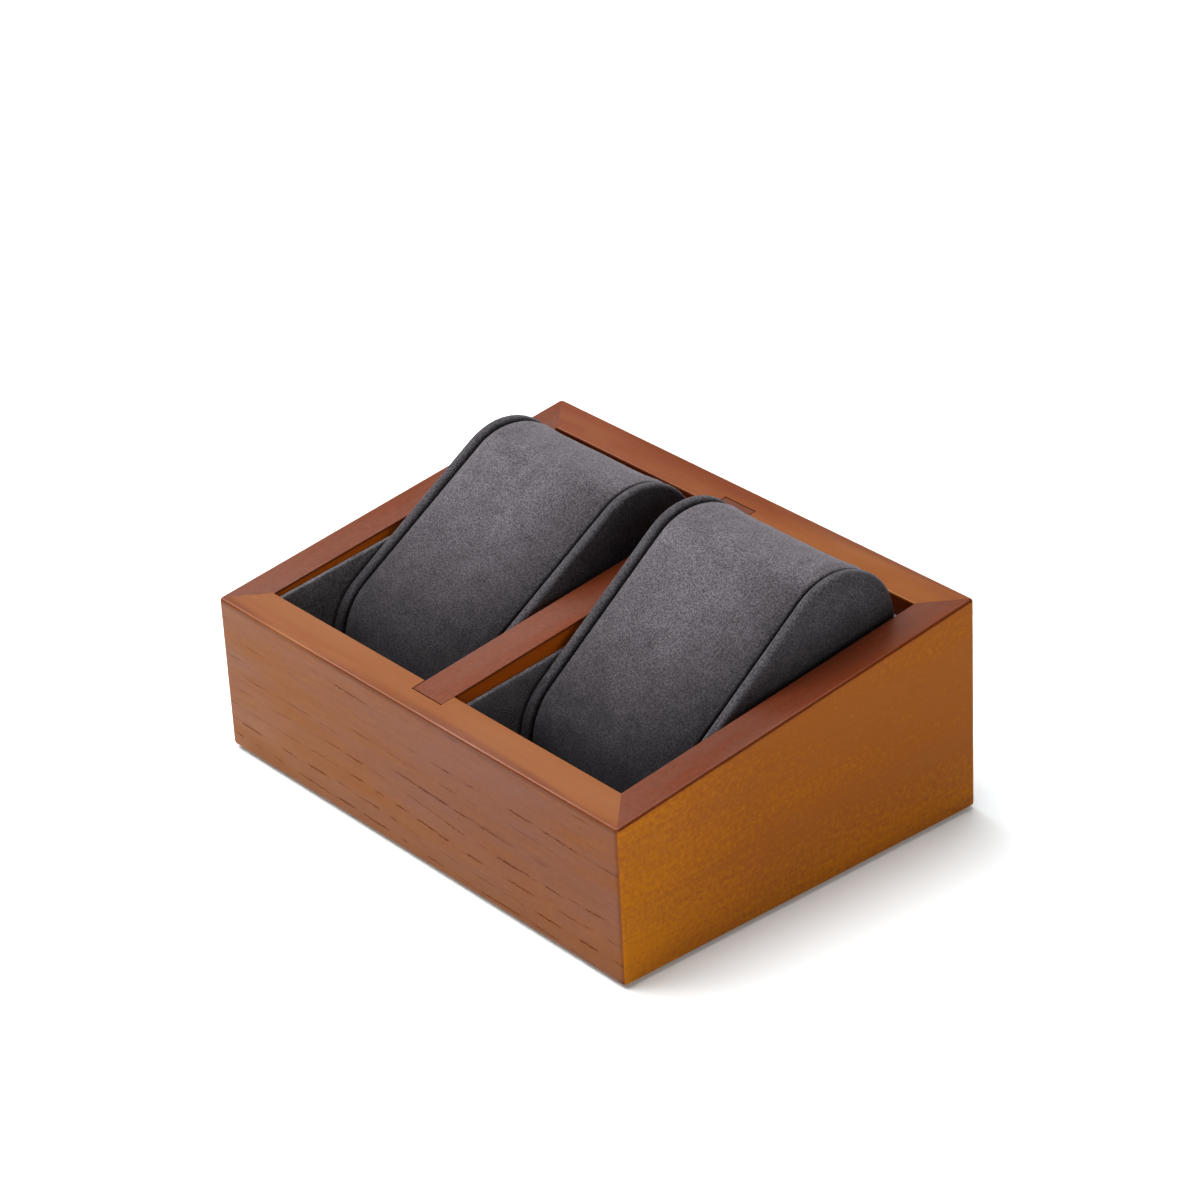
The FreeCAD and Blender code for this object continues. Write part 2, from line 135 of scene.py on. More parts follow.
class WatchBoxSuede(bpy.types.PropertyGroup):
    """Grey microfibre suede of the pillows and the bays."""

    band: colour_property("Band", "Suede round the cushions", "656165")
    # The same suede as the band, drawn darker on the end panels: painted shade.
    panel: colour_property("Panels", "Suede on the end panels", "555255")
    # The same suede drawn lighter on the bays' boards: painted light.
    lining: colour_property("Lining", "Suede on the bays' boards", "7B787B")
    sheen: colour_property("Sheen", "Light that the ends of the nap scatter back", "CBC8CD")
    nap_size: length_property("Nap", "Size of the tufts that the nap lies in", 0.45)
    brush_size: length_property("Brush marks", "Size of the patches where the nap lies one way", 5.5)
    contrast: number_property("Speckle", "How far the tufts differ in lightness", 0.4)
    patch_contrast: number_property("Patchiness", "How far the brushed patches differ in lightness", 0.13)
    # Painted shade: how much darker the band is drawn by the right seam and towards the nose.
    seam_shade: number_property("Seam shade", "How much darker the nap lies by the right seam", 0.45)
    nose_shade: number_property("Nose shade", "How much darker the nap lies towards the nose", 0.42)


class WatchBoxPillow(bpy.types.PropertyGroup):
    """Sizes of the loose pillows that the frame's boxes don't give."""

    panel_radius: length_property("Panel radius", "Radius of the round ends of an end panel", 17.5)
    panel_round: length_property("Panel rounding", "How far the rounding of a panel's rim reaches in", 1.3)
    panel_crown: length_property("Panel crown", "Rise of the padding on an end panel", 0.35)
    band_radius: length_property("Band radius", "Radius of the band where it meets an end panel", 17.2)
    waist_depth: length_property("Waist depth", "How far the band is drawn in round the bends", 0.55)
    flare_width: length_property("Flare width", "Length of band that flares out to an end panel", 15.0)
    bulge: length_property("Bulge", "Rise of the foam on the flat sides", 1.5)
    bulge_shift: length_property("Bulge place", "Place of the highest line, from the cushion's middle", -4.0)
    seam_roll: length_property("Seam roll", "Radius with which the band turns in at an end panel", 0.7)
    left_gap: length_property("Left gap", "Width of the crease at the left end panel", 1.2)
    right_gap: length_property("Right gap", "Width of the crease at the right end panel", 0.4)
    seam_depth: length_property("Seam depth", "Depth of the crease between band and end panel", 2.4)
    foam_ripple: length_property("Foam ripple", "Unevenness of the foam under the band", 0.12)


class WatchBoxLining(bpy.types.PropertyGroup):
    """Softness of the boards that line the bays."""

    edge_radius: length_property("Edge radius", "Radius with which the suede turns over a board", 0.55)
    side_puff: length_property("Side padding", "Rise of the suede on the thin boards", 0.12)
    rear_puff: length_property("Rear padding", "Rise of the padding on the rear board", 0.3)


class WatchBoxStage(bpy.types.PropertyGroup):
    """Camera, lights and floor."""

    azimuth: angle_property("Azimuth", "Camera's direction round the box, from the front", 51.15)
    elevation: angle_property("Elevation", "Camera's height above the horizon", 28.92)
    roll: angle_property("Roll", "Camera's roll", -3.03)
    distance: length_property("Distance", "Camera's distance from what it aims at", 984.2)
    aim_x: length_property("Aim X", "Where the camera aims, along the length", 8.5)
    aim_y: length_property("Aim Y", "Where the camera aims, along the depth", -2.98)
    aim_z: length_property("Aim Z", "Where the camera aims, above the floor", 53.75)
    lens: number_property("Lens", "Focal length in millimetres on a 36 mm sensor", 125.0, 10, 500)
    sky: number_property("Sky", "Strength of the dim room", 0.045)
    key: number_property("Key light", "Power of the soft light above on the left, in watts", 43.0)
    backdrop: number_property("Backdrop light", "Power of the white card behind on the left, in watts", 11.5)
    fill: number_property("Fill light", "Power of the white card low on the right, in watts", 6.5)
    # Painted light: the floor glows, weakly near the box and fully farther off.
    table_glow: number_property("Table glow", "Light that comes up through the table near the box", 0.11)
    far_glow: number_property("Far glow", "Light that comes up through the table farther off", 0.9)
    near: length_property("Near", "How far from the box's middle the glow begins to grow", 100.0)
    far: length_property("Far", "How far from the box's middle the glow is full", 500.0)
    table_white: colour_property("Table white", "Colour of the table's acrylic", "E3E7E9")
    table_tooth: length_property("Table tooth", "Size of the grain on the table's matt face", 1.5)
    floor_size: length_property("Floor", "Side of the square floor", 8000.0)


class WatchBoxSettings(bpy.types.PropertyGroup):
    """Everything that a user would change."""

    wood: bpy.props.PointerProperty(type=WatchBoxWood, name="Wood")
    suede: bpy.props.PointerProperty(type=WatchBoxSuede, name="Suede")
    pillow: bpy.props.PointerProperty(type=WatchBoxPillow, name="Pillows")
    lining: bpy.props.PointerProperty(type=WatchBoxLining, name="Lining")
    stage: bpy.props.PointerProperty(type=WatchBoxStage, name="Stage")


# Nodes and materials

def add_node(tree, kind, inputs=(), **settings):
    """Adds a node, sets its properties, and fills its inputs with values or links.

    Inputs are a list in the order of the sockets, or a dictionary by their names or numbers.
    """
    node = tree.nodes.new(kind)
    for name, value in settings.items():
        setattr(node, name, value)
    for key, value in inputs.items() if isinstance(inputs, dict) else enumerate(inputs):
        named = [s for s in node.inputs if s.enabled and s.name == key]
        socket = node.inputs[key] if isinstance(key, int) else named[0]
        if isinstance(value, bpy.types.Node):
            value = next(s for s in value.outputs if s.enabled)
        if isinstance(value, bpy.types.NodeSocket):
            tree.links.new(value, socket)
        elif socket.type == "RGBA":
            socket.default_value = (*value, 1.0)
        else:
            socket.default_value = value
    return node


def new_material(name):
    """An empty node material, and its tree."""
    material = bpy.data.materials.new(name)
    material.use_nodes = True
    material.node_tree.nodes.clear()
    return material, material.node_tree


def put_in_millimetres(tree, turn=0.0, shift=(0.0, 0.0, 0.0)):
    """Object coordinates in millimetres, turned about Z and shifted."""
    place = add_node(tree, "ShaderNodeTexCoord")
    return add_node(tree, "ShaderNodeMapping", {
        "Vector": place.outputs["Object"],
        "Scale": (1 / MM,) * 3,
        "Rotation": (0, 0, turn),
        "Location": shift})


# Marks on the ash: their length along the grain and their width across it, in millimetres, and how
# detailed and how rough they are.
ASH_MARKS = {
    "bands": (62.5, 11.11, 3.0, 0.5),
    "fibres": (8.333, 0.625, 3.0, 0.65),
    "flecks": (1.25, 1.25, 3.0, 0.7),
    "blotches": (55.56, 5.0, 1.0, 0.5),
    "figure": (83.33, 20.0, 1.0, 0.5)}

# Between which two distances a finish comes in, in millimetres: heights over the floor, depths behind
# the board's outer face, and drops below the rim.
FOOT_HEIGHTS = (24.0, 3.0)
INNER_DEPTHS = (2.0, 8.0)
EDGE_DEPTHS = (6.0, 0.5)
RIM_DROPS = (0.75, 0.35)
LINE_DROPS = (1.6, 0.9)

# What counts towards the share of deep stain, besides a board's own weights.
MIDDLE_SHARE = 0.35
FIBRE_WEIGHT = 0.9
# Painted light: this negative weight draws the stain clearer and lighter towards the foot.
FOOT_PAINTED_LIGHT = -0.5

# How much the blotches on the rim grow where the stain has deepened, and in the divider's painted shadow.
DEEPENED_BLOTCHES = 0.1

# How far the slow figure and the flecks bend the rows of pores, in millimetres, how the planes of the
# growth rings lie against a board's width, and how soft the edge of a row is, as a factor of its width.
FIGURE_BEND = 6.0
FLECK_BEND = 1.1
RING_TILT = 0.6
ROW_SOFTNESS = 1.5

# The shares of its cell of noise that a pore fills along and across the grain, how many more pores are
# open with each millimetre below the rim, the share of them that stays open on the rubbed rim, less one,
# how strongly a pore shows its stain, and its gloss, less one.
PORE_SHARES = (0.8, 0.4)
OPEN_PER_DROP = 0.006
RIM_FILLING = -0.85
PORE_STAIN = 0.5
PORE_DULLING = -0.8

# Height of a raised fibre, as a share of a pore's depth.
FIBRE_RELIEF = 0.25


class AshBoard(NamedTuple):
    """How one board of the case is stained and finished, and where in the tree it was cut."""

    along_depth: bool  # whether its grain runs along the depth
    outward: tuple  # direction of its outer face, or of the divider's front end
    # The inner face's colour is painted light on the front wall, left wall and divider, and painted shade on
    # the rear wall.
    face: tuple  # clear and deep stain of the outer face, and stain of the inner face
    rim: tuple  # clear and deep stain of the rim
    finish: tuple  # gloss, weights of the bands and flecks of stain, and strength of the line
    cut: tuple  # shift of the grain, in millimetres
    slant: float  # rise of the growth rings along the board
    rows: float  # strength of the rows of pores
    # On the divider this deepening is painted shadow over its rear half.
    deepening_or_shadow: tuple  # the places along the grain between which the stain deepens, and how much


def stained_ash(name, wood, board, plane):
    """Ash, stained red-brown and sprayed with satin lacquer.

    Planed and sanded boards of an open-pored wood. The wiped stain gathers in the rows of pores that each
    growth ring opens, so they show as broken dark dashes along the grain. The rim was sanded and rubbed
    once more after the glue-up, so it has a stain and a gloss of its own, and a dark line under its edge,
    which is strong on the long boards.
    """
    gloss, band_weight, fleck_weight, line_weight = board.finish
    fade_start, fade_end, fade_weight = board.deepening_or_shadow
    material, tree = new_material(name)
    grain = put_in_millimetres(tree, math.radians(-90) if board.along_depth else 0.0, board.cut)
    along = add_node(tree, "ShaderNodeSeparateXYZ", {"Vector": grain}).outputs
    marks = {}
    for mark, (length, width, detail, roughness) in ASH_MARKS.items():
        stretched = add_node(tree, "ShaderNodeMapping", {
            "Vector": grain, "Scale": (1 / length, 1 / width, 1 / width)})
        marks[mark] = add_node(tree, "ShaderNodeTexNoise", {
            "Vector": stretched, "Scale": 1.0, "Detail": detail, "Roughness": roughness})
    bands, fibres, flecks, blotches, figure = marks.values()

    # Distance behind the board's outer face, and below the sloping rim plane.
    whole = put_in_millimetres(tree)
    reach = max(Vector(board.outward).dot(Vector(corner)) for corner in cad_box) / MM
    outwards = add_node(tree, "ShaderNodeVectorMath", (whole, board.outward), operation="DOT_PRODUCT")
    depth = add_node(tree, "ShaderNodeMath", (reach, outwards.outputs["Value"]), operation="SUBTRACT")
    slope, height = plane
    below = add_node(tree, "ShaderNodeVectorMath", (whole, (0.0, slope, -1.0)), operation="DOT_PRODUCT")
    below = add_node(tree, "ShaderNodeMath", (below.outputs["Value"], height / MM), operation="ADD")

    # Where each finish lies, with painted light towards the foot and, on the divider, painted shadow towards
    # the rear.
    foot_start, foot_end = (board.cut[2] + over_floor for over_floor in FOOT_HEIGHTS)
    deepened_or_shaded, painted_foot_light, at_edge, on_rim, near_rim = (
        add_node(tree, "ShaderNodeMapRange", {"Value": distance, "From Min": start, "From Max": end},
                 interpolation_type="SMOOTHSTEP")
        for distance, start, end in (
            (along["X"], fade_start, fade_end), (along["Z"], foot_start, foot_end),
            (depth, *EDGE_DEPTHS), (below, *RIM_DROPS), (below, *LINE_DROPS)))
    inside = add_node(tree, "ShaderNodeMapRange", {
        "Value": depth, "From Min": INNER_DEPTHS[0], "From Max": INNER_DEPTHS[1]})
    line = add_node(tree, "ShaderNodeMath", (near_rim, on_rim), operation="SUBTRACT")

    # Deep and clear bands of stain: long along the grain, with fibres, flecks and one slow change, which on
    # the divider's rear is painted shadow, and clearer towards the bottom, which is painted light.
    share = MIDDLE_SHARE - (band_weight + FIBRE_WEIGHT + fleck_weight) / 2
    for mark, weight in ((bands, band_weight), (fibres, FIBRE_WEIGHT), (flecks, fleck_weight),
                         (deepened_or_shaded, fade_weight), (painted_foot_light, FOOT_PAINTED_LIGHT)):
        share = add_node(tree, "ShaderNodeMath", (mark, weight, share), operation="MULTIPLY_ADD")
    share = add_node(tree, "ShaderNodeClamp", {"Value": share})
    clear, deep, inner = board.face
    face = add_node(tree, "ShaderNodeMix", {"Factor": share, "A": clear, "B": deep}, data_type="RGBA")
    face = add_node(tree, "ShaderNodeMix", {"Factor": inside, "A": face, "B": inner}, data_type="RGBA")

    # Stain gathered in blotches along the rim's outer edge, more of it where the stain has deepened and in
    # the divider's painted shadow.
    patchy = add_node(tree, "ShaderNodeMath", (deepened_or_shaded, DEEPENED_BLOTCHES, blotches),
                      operation="MULTIPLY_ADD")
    blotch = add_node(tree, "ShaderNodeMapRange", {
        "Value": patchy, "From Min": 0.4, "From Max": 0.55, "To Max": 0.8})
    gathered = add_node(tree, "ShaderNodeMath", (at_edge, blotch), operation="MULTIPLY")
    clear, deep = board.rim
    rim = add_node(tree, "ShaderNodeMix", {"Factor": share, "A": clear, "B": deep}, data_type="RGBA")
    rim = add_node(tree, "ShaderNodeMix", {"Factor": gathered, "A": rim, "B": wood.rim_edge_and_rear_shade},
                   data_type="RGBA")
    stain = add_node(tree, "ShaderNodeMix", {"Factor": on_rim, "A": face, "B": rim}, data_type="RGBA")

    # Rows of open pores: the planes of the growth rings as they come out, broken up along the grain,
    # fewer near the rim and almost filled on it.
    across = add_node(tree, "ShaderNodeVectorMath", (grain, (board.slant, RING_TILT, 1.0)),
                      operation="DOT_PRODUCT")
    bent = across.outputs["Value"]
    for mark, bend in ((figure, FIGURE_BEND), (flecks, FLECK_BEND)):
        bent = add_node(tree, "ShaderNodeMath", (mark, bend, bent), operation="MULTIPLY_ADD")
    rings = add_node(tree, "ShaderNodeMath", (bent, wood.ring_spacing / MM), operation="DIVIDE")
    ring = add_node(tree, "ShaderNodeMath", (rings,), operation="FRACT")
    in_row = add_node(tree, "ShaderNodeMapRange", {
        "Value": ring, "From Min": wood.row_share, "From Max": wood.row_share * ROW_SOFTNESS,
        "To Min": 1.0, "To Max": 0.0})
    cell_length, cell_width = wood.pore_length / PORE_SHARES[0], wood.pore_width / PORE_SHARES[1]
    cells = add_node(tree, "ShaderNodeMapping", {
        "Vector": grain, "Scale": (MM / cell_length, MM / cell_width, MM / cell_width)})
    dashes = add_node(tree, "ShaderNodeTexNoise", {
        "Vector": cells, "Scale": 1.0, "Detail": 1.0, "Roughness": 0.4})
    broken = add_node(tree, "ShaderNodeMapRange", {
        "Value": dashes, "From Min": 0.43, "From Max": 0.56}, interpolation_type="SMOOTHSTEP")
    lower = add_node(tree, "ShaderNodeMath", (below, OPEN_PER_DROP, blotches), operation="MULTIPLY_ADD")
    opened = add_node(tree, "ShaderNodeMapRange", {
        "Value": lower, "From Min": 0.49, "From Max": 0.7, "To Max": board.rows})
    unfilled = add_node(tree, "ShaderNodeMath", (on_rim, RIM_FILLING, 1.0), operation="MULTIPLY_ADD")
    pores = in_row
    for part in (broken, opened, unfilled):
        pores = add_node(tree, "ShaderNodeMath", (pores, part), operation="MULTIPLY")
    dark = 0.0
    for mark, weight in ((pores, PORE_STAIN), (line, line_weight)):
        dark = add_node(tree, "ShaderNodeMath", (mark, weight, dark), operation="MULTIPLY_ADD")
    dark = add_node(tree, "ShaderNodeClamp", {"Value": dark})
    colour = add_node(tree, "ShaderNodeMix", {"Factor": dark, "A": stain, "B": wood.pore},
                      data_type="RGBA")

    # Relief and gloss: pores below the surface and dull, fibres barely raised.
    raised = add_node(tree, "ShaderNodeMath", (fibres, FIBRE_RELIEF), operation="MULTIPLY")
    level = add_node(tree, "ShaderNodeMath", (raised, pores), operation="SUBTRACT")
    bump = add_node(tree, "ShaderNodeBump", {
        "Height": level, "Distance": wood.pore_depth, "Strength": 0.3})
    rough = add_node(tree, "ShaderNodeMapRange", {
        "Value": fibres, "From Min": 0.3, "From Max": 0.7, "To Min": 0.28, "To Max": 0.38})
    shine = add_node(tree, "ShaderNodeMapRange", {
        "Value": on_rim, "To Min": gloss, "To Max": wood.rim_gloss})
    closed = add_node(tree, "ShaderNodeMath", (pores, PORE_DULLING, 1.0), operation="MULTIPLY_ADD")
    rubbed = add_node(tree, "ShaderNodeMapRange", {
        "Value": bands, "From Min": 0.35, "From Max": 0.65, "To Min": 0.6, "To Max": 1.4})
    for part in (closed, rubbed):
        shine = add_node(tree, "ShaderNodeMath", (shine, part), operation="MULTIPLY")
    shader = add_node(tree, "ShaderNodeBsdfPrincipled", {
        "Base Color": colour, "Roughness": rough, "IOR": 1.5, "Specular IOR Level": shine,
        "Normal": bump})
    add_node(tree, "ShaderNodeOutputMaterial", {"Surface": shader})
    return material


def suede(name, settings, colour, turn):
    """Microfibre suede: a knitted backing whose face is sanded into a short dense nap.

    The nap scatters light back at grazing angles, so edges look paler, and it lies in small tufts and
    in patches where a hand has brushed it. The tufts are drawn a little coarser than the real fibres.
    Where a piece carries the per-point shade attribute, its colour is darkened there: painted shade.
    """
    material, tree = new_material(name)
    cloth = put_in_millimetres(tree, turn)
    tufts = add_node(tree, "ShaderNodeTexNoise", {
        "Vector": cloth, "Scale": MM / settings.nap_size, "Detail": 3.0, "Roughness": 0.8})
    patches = add_node(tree, "ShaderNodeTexNoise", {
        "Vector": cloth, "Scale": MM / settings.brush_size, "Detail": 3.0, "Roughness": 0.6,
        "Distortion": 0.6})
    light = add_node(tree, "ShaderNodeMapRange", {
        "Value": tufts, "From Min": 0.4, "From Max": 0.6,
        "To Min": 1 - settings.contrast, "To Max": 1 + settings.contrast})
    patch_light = add_node(tree, "ShaderNodeMapRange", {
        "Value": patches, "From Min": 0.3, "From Max": 0.7,
        "To Min": 1 - settings.patch_contrast, "To Max": 1 + settings.patch_contrast})
    # Painted shade: a per-point attribute darkens the suede towards the right seam and the nose.
    brushed = add_node(tree, "ShaderNodeAttribute", attribute_name="brushed")
    unshaded = add_node(tree, "ShaderNodeMath", (1.0, brushed.outputs["Fac"]), operation="SUBTRACT")
    for part in (patch_light, unshaded):
        light = add_node(tree, "ShaderNodeMath", (light, part), operation="MULTIPLY")
    shade = add_node(tree, "ShaderNodeVectorMath", {0: colour, "Scale": light}, operation="SCALE")
    bump = add_node(tree, "ShaderNodeBump", {
        "Height": tufts, "Distance": 0.25 * MM, "Strength": 0.6})
    shader = add_node(tree, "ShaderNodeBsdfPrincipled", {
        "Base Color": shade, "Roughness": 0.95, "IOR": 1.45, "Specular IOR Level": 0.1,
        "Sheen Weight": 0.25, "Sheen Roughness": 0.5, "Sheen Tint": settings.sheen,
        "Normal": bump})
    add_node(tree, "ShaderNodeOutputMaterial", {"Surface": shader})
    return material


def two_tone(name, codes, size, noise, relief, look):
    """A surface whose marks, of this size in millimetres, mix two colours and stand up a little."""
    material, tree = new_material(name)
    stretched = add_node(tree, "ShaderNodeMapping", {
        "Vector": put_in_millimetres(tree), "Scale": tuple(1 / side for side in size)})
    mark = add_node(tree, "ShaderNodeTexNoise", {"Vector": stretched, "Scale": 1.0, **noise})
    share = add_node(tree, "ShaderNodeMapRange", {"Value": mark, "From Min": 0.3, "From Max": 0.7})
    colour = add_node(tree, "ShaderNodeMix", {
        "Factor": share, "A": hex_colour(codes[0]), "B": hex_colour(codes[1])}, data_type="RGBA")
    height, strength = relief
    bump = add_node(tree, "ShaderNodeBump", {
        "Height": mark, "Distance": height * MM, "Strength": strength})
    shader = add_node(tree, "ShaderNodeBsdfPrincipled", {"Base Color": colour, "Normal": bump, **look})
    add_node(tree, "ShaderNodeOutputMaterial", {"Surface": shader})
    return material


def black_felt():
    """Pressed wool felt, dyed black: matted fibres with no weave, dull from every side."""
    return two_tone("pressed_black_felt", ("0F0E0E", "1F1D1C"), (0.9, 0.9, 0.9),
                    {"Detail": 5.0, "Roughness": 0.8, "Distortion": 1.5}, (0.3, 0.7),
                    {"Roughness": 0.96, "Specular IOR Level": 0.05, "Sheen Weight": 0.05})


def birch_plywood():
    """Birch plywood: a rotary-cut face veneer with a pale, faintly flamed figure, sanded and unfinished."""
    return two_tone("birch_plywood", ("D9BE93", "BE9A6A"), (50.0, 5.0, 5.0),
                    {"Detail": 4.0, "Roughness": 0.6, "Distortion": 0.8}, (0.05, 0.4),
                    {"Roughness": 0.7, "IOR": 1.5})


def fibreboard():
    """Medium density fibreboard: brown wood dust pressed flat, with a fine even speckle."""
    return two_tone("pressed_fibreboard", ("A98760", "8A6A47"), (0.5, 0.5, 0.5),
                    {"Detail": 4.0, "Roughness": 0.7}, (0.04, 0.5), {"Roughness": 0.85, "IOR": 1.5})


def floor_with_painted_glow(stage):
    """Matt white acrylic, faintly rough, that glows: painted light, weak near the box and full farther off.
    """
    material, tree = new_material("floor_with_painted_glow")
    sheet = put_in_millimetres(tree)
    tooth = add_node(tree, "ShaderNodeTexNoise", {
        "Vector": sheet, "Scale": MM / stage.table_tooth, "Detail": 3.0})
    bump = add_node(tree, "ShaderNodeBump", {"Height": tooth, "Distance": 0.02 * MM, "Strength": 0.2})
    away = add_node(tree, "ShaderNodeVectorMath", (sheet,), operation="LENGTH")
    glow = add_node(tree, "ShaderNodeMapRange", {
        "Value": away.outputs["Value"], "From Min": stage.near / MM, "From Max": stage.far / MM,
        "To Min": stage.table_glow, "To Max": stage.far_glow}, interpolation_type="SMOOTHSTEP")
    shader = add_node(tree, "ShaderNodeBsdfPrincipled", {
        "Base Color": stage.table_white, "Roughness": 1.0, "Specular IOR Level": 0.0,
        "Emission Color": WHITE, "Emission Strength": glow, "Normal": bump})
    add_node(tree, "ShaderNodeOutputMaterial", {"Surface": shader})
    return material


# Mesh tools

# How near the points lie that are merged, the turns at which lines run over a board's rounded edges, in
# degrees, how many lines lie between those edges, and how steeply its padding rises.
MERGE = 0.002 * MM
POLE_MERGE = 0.005 * MM
EDGE_TURNS = (0, 15, 32, 50, 70, 90)
BOARD_LINES = 18
PUFF_POWER = 0.35


def new_piece(name, mesh, material, body, slot, *nodes):
    """A finished piece in its place, on its body, in the place of the nodes that it stands for."""
    piece = bpy.data.objects.new(name, mesh)
    bpy.context.scene.collection.objects.link(piece)
    mesh.materials.clear()
    mesh.materials.append(material)
    mesh.polygons.foreach_set("use_smooth", [True] * len(mesh.polygons))
    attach(piece, body)
    if nodes:
        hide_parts(*nodes)
    return piece


def mesh_from(name, points, faces):
    """A closed mesh whose faces point outwards."""
    mesh = bpy.data.meshes.new(name)
    mesh.from_pydata([tuple(p) for p in points], [], faces)
    tidy_mesh(mesh)
    return mesh


def tidy_mesh(mesh):
    """Merges doubles and turns the faces outwards."""
    work = bmesh.new()
    work.from_mesh(mesh)
    bmesh.ops.remove_doubles(work, verts=work.verts, dist=MERGE)
    bmesh.ops.recalc_face_normals(work, faces=work.faces)
    work.to_mesh(mesh)
    work.free()


def spread_lines(length, edge):
    """Distances along a side: close together in the rounding at both ends, even between."""
    turn = [edge * (1 - math.cos(math.radians(degrees))) for degrees in EDGE_TURNS]
    middle = np.linspace(edge, length - edge, BOARD_LINES + 2)[1:-1]
    return np.array(turn + list(middle) + [length - t for t in reversed(turn)])


def level_corners(low, high):
    """Corners of a box's underside, anticlockwise as seen from above."""
    return [(low.x, low.y, low.z), (high.x, low.y, low.z), (high.x, high.y, low.z), (low.x, high.y, low.z)]


def wrapped_board(name, corners, inward, thickness, edge, puff):
    """A board with suede pulled round it: soft edges all round, and a slight rise on the open side.

    Corners are the four corners of its back, anticlockwise as seen from inward, where it faces.
    """
    a, b, c, d = (np.array(p) for p in corners)
    across = spread_lines(np.linalg.norm(b - a), edge)
    upward = spread_lines(np.linalg.norm(d - a), edge)
    u, v = np.meshgrid(across / across[-1], upward / upward[-1], indexing="ij")
    su, sv = np.meshgrid(np.minimum(across, across[-1] - across),
                         np.minimum(upward, upward[-1] - upward), indexing="ij")
    flat = (a[None, None] * ((1 - u) * (1 - v))[..., None] + b[None, None] * (u * (1 - v))[..., None]
            + c[None, None] * (u * v)[..., None] + d[None, None] * ((1 - u) * v)[..., None])
    inside = np.minimum(np.minimum(su, sv), edge)
    drop = edge - np.sqrt(np.maximum(edge ** 2 - (edge - inside) ** 2, 0.0))
    rise = puff * (np.sin(math.pi * u) * np.sin(math.pi * v)) ** PUFF_POWER
    inward = np.array(inward)
    face = flat + inward * (thickness - drop + rise * (inside >= edge))[..., None]
    back = flat + inward * drop[..., None]
    rows, columns = u.shape
    points = np.concatenate([face.reshape(-1, 3), back.reshape(-1, 3)])
    faces = []
    for i in range(rows - 1):
        for j in range(columns - 1):
            quad = [i * columns + j, (i + 1) * columns + j, (i + 1) * columns + j + 1, i * columns + j + 1]
            faces.append(quad)
            faces.append([q + rows * columns for q in reversed(quad)])
    rim = ([(i, 0) for i in range(rows)] + [(rows - 1, j) for j in range(1, columns)]
           + [(i, columns - 1) for i in range(rows - 2, -1, -1)]
           + [(0, j) for j in range(columns - 2, 0, -1)])
    for (i, j), (k, l) in zip(rim, rim[1:] + rim[:1]):
        here, there = i * columns + j, k * columns + l
        faces.append([there, here, here + rows * columns, there + rows * columns])
    return mesh_from(name, points, faces)


# Wooden case

def top_at(node, y, reach):
    """Height of a node's top near one depth."""
    return max(v.co.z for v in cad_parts[node].data.vertices if abs(v.co.y - y) < reach)


def rim_plane():
    """Slope of the rim towards +Y, and its height over the middle, from the divider's two ends."""
    low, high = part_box("divider")
    reach = 2 * MM
    front = top_at("divider", low.y, reach)
    rear = top_at("divider", high.y, reach)
    slope = (rear - front) / (high.y - low.y)
    return slope, front - slope * low.y


class WATCHBOX_OT_finish_wood(bpy.types.Operator):
    """Stains and lacquers the four walls and the divider"""

    bl_idname = "watchbox.finish_wood"
    bl_label = "Finish Wood"

    def execute(self, context):
        wood = context.scene.watch_box.wood
        long_finish = (wood.face_gloss, 2.2, 0.8, 0.35)
        short_finish = (wood.side_gloss, 1.3, 2.2, 0.06)
        stains = (wood.face_light, wood.face_dark)
        side_rim = (wood.side_rim_light, wood.side_rim_dark)
        boards = {
            "front_wall": AshBoard(
                along_depth=False, outward=(0, -1, 0), face=(*stains, wood.inner_face_painted_light),
                rim=(wood.front_rim_light, wood.front_rim_dark), finish=long_finish,
                cut=(11.0, 0.0, 3.0), slant=0.01, rows=1.0, deepening_or_shadow=(-75.0, 60.0, 0.35)),
            # The rear wall's inner face takes the dark rim-edge colour: painted shade.
            "rear_wall": AshBoard(
                along_depth=False, outward=(0, 1, 0), face=(*stains, wood.rim_edge_and_rear_shade),
                rim=(wood.side_rim_light, wood.front_rim_dark), finish=long_finish,
                cut=(-60.0, 40.0, 17.0), slant=0.02, rows=0.7, deepening_or_shadow=(-130.0, 10.0, 0.7)),
            "left_wall": AshBoard(
                along_depth=True, outward=(-1, 0, 0), face=(*stains, wood.inner_face_painted_light),
                rim=side_rim, finish=short_finish,
                cut=(25.0, 0.0, 8.0), slant=0.02, rows=0.3, deepening_or_shadow=(-60.0, 60.0, 0.3)),
            # The right wall's lighter, more golden stain is partly painted light.
            "right_wall": AshBoard(
                along_depth=True, outward=(1, 0, 0), rim=side_rim, finish=short_finish,
                face=(wood.right_light, wood.right_dark, wood.right_dark),
                cut=(80.0, 0.0, 31.0), slant=-0.02, rows=0.12, deepening_or_shadow=(15.0, 75.0, 0.7)),
            # The divider's strong deepening towards the rear is painted shadow from the left pillow.
            "divider": AshBoard(
                along_depth=True, outward=(0, -1, 0), face=(*stains, wood.inner_face_painted_light),
                rim=side_rim, finish=short_finish,
                cut=(47.0, 10.0, 5.0), slant=0.02, rows=0.1, deepening_or_shadow=(30.0, 65.0, 1.2))}
        for name, board in boards.items():
            finish = stained_ash(f"stained_ash_{name}", wood, board, rim_plane())
            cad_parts[name].data.materials[0] = finish
        return {"FINISHED"}


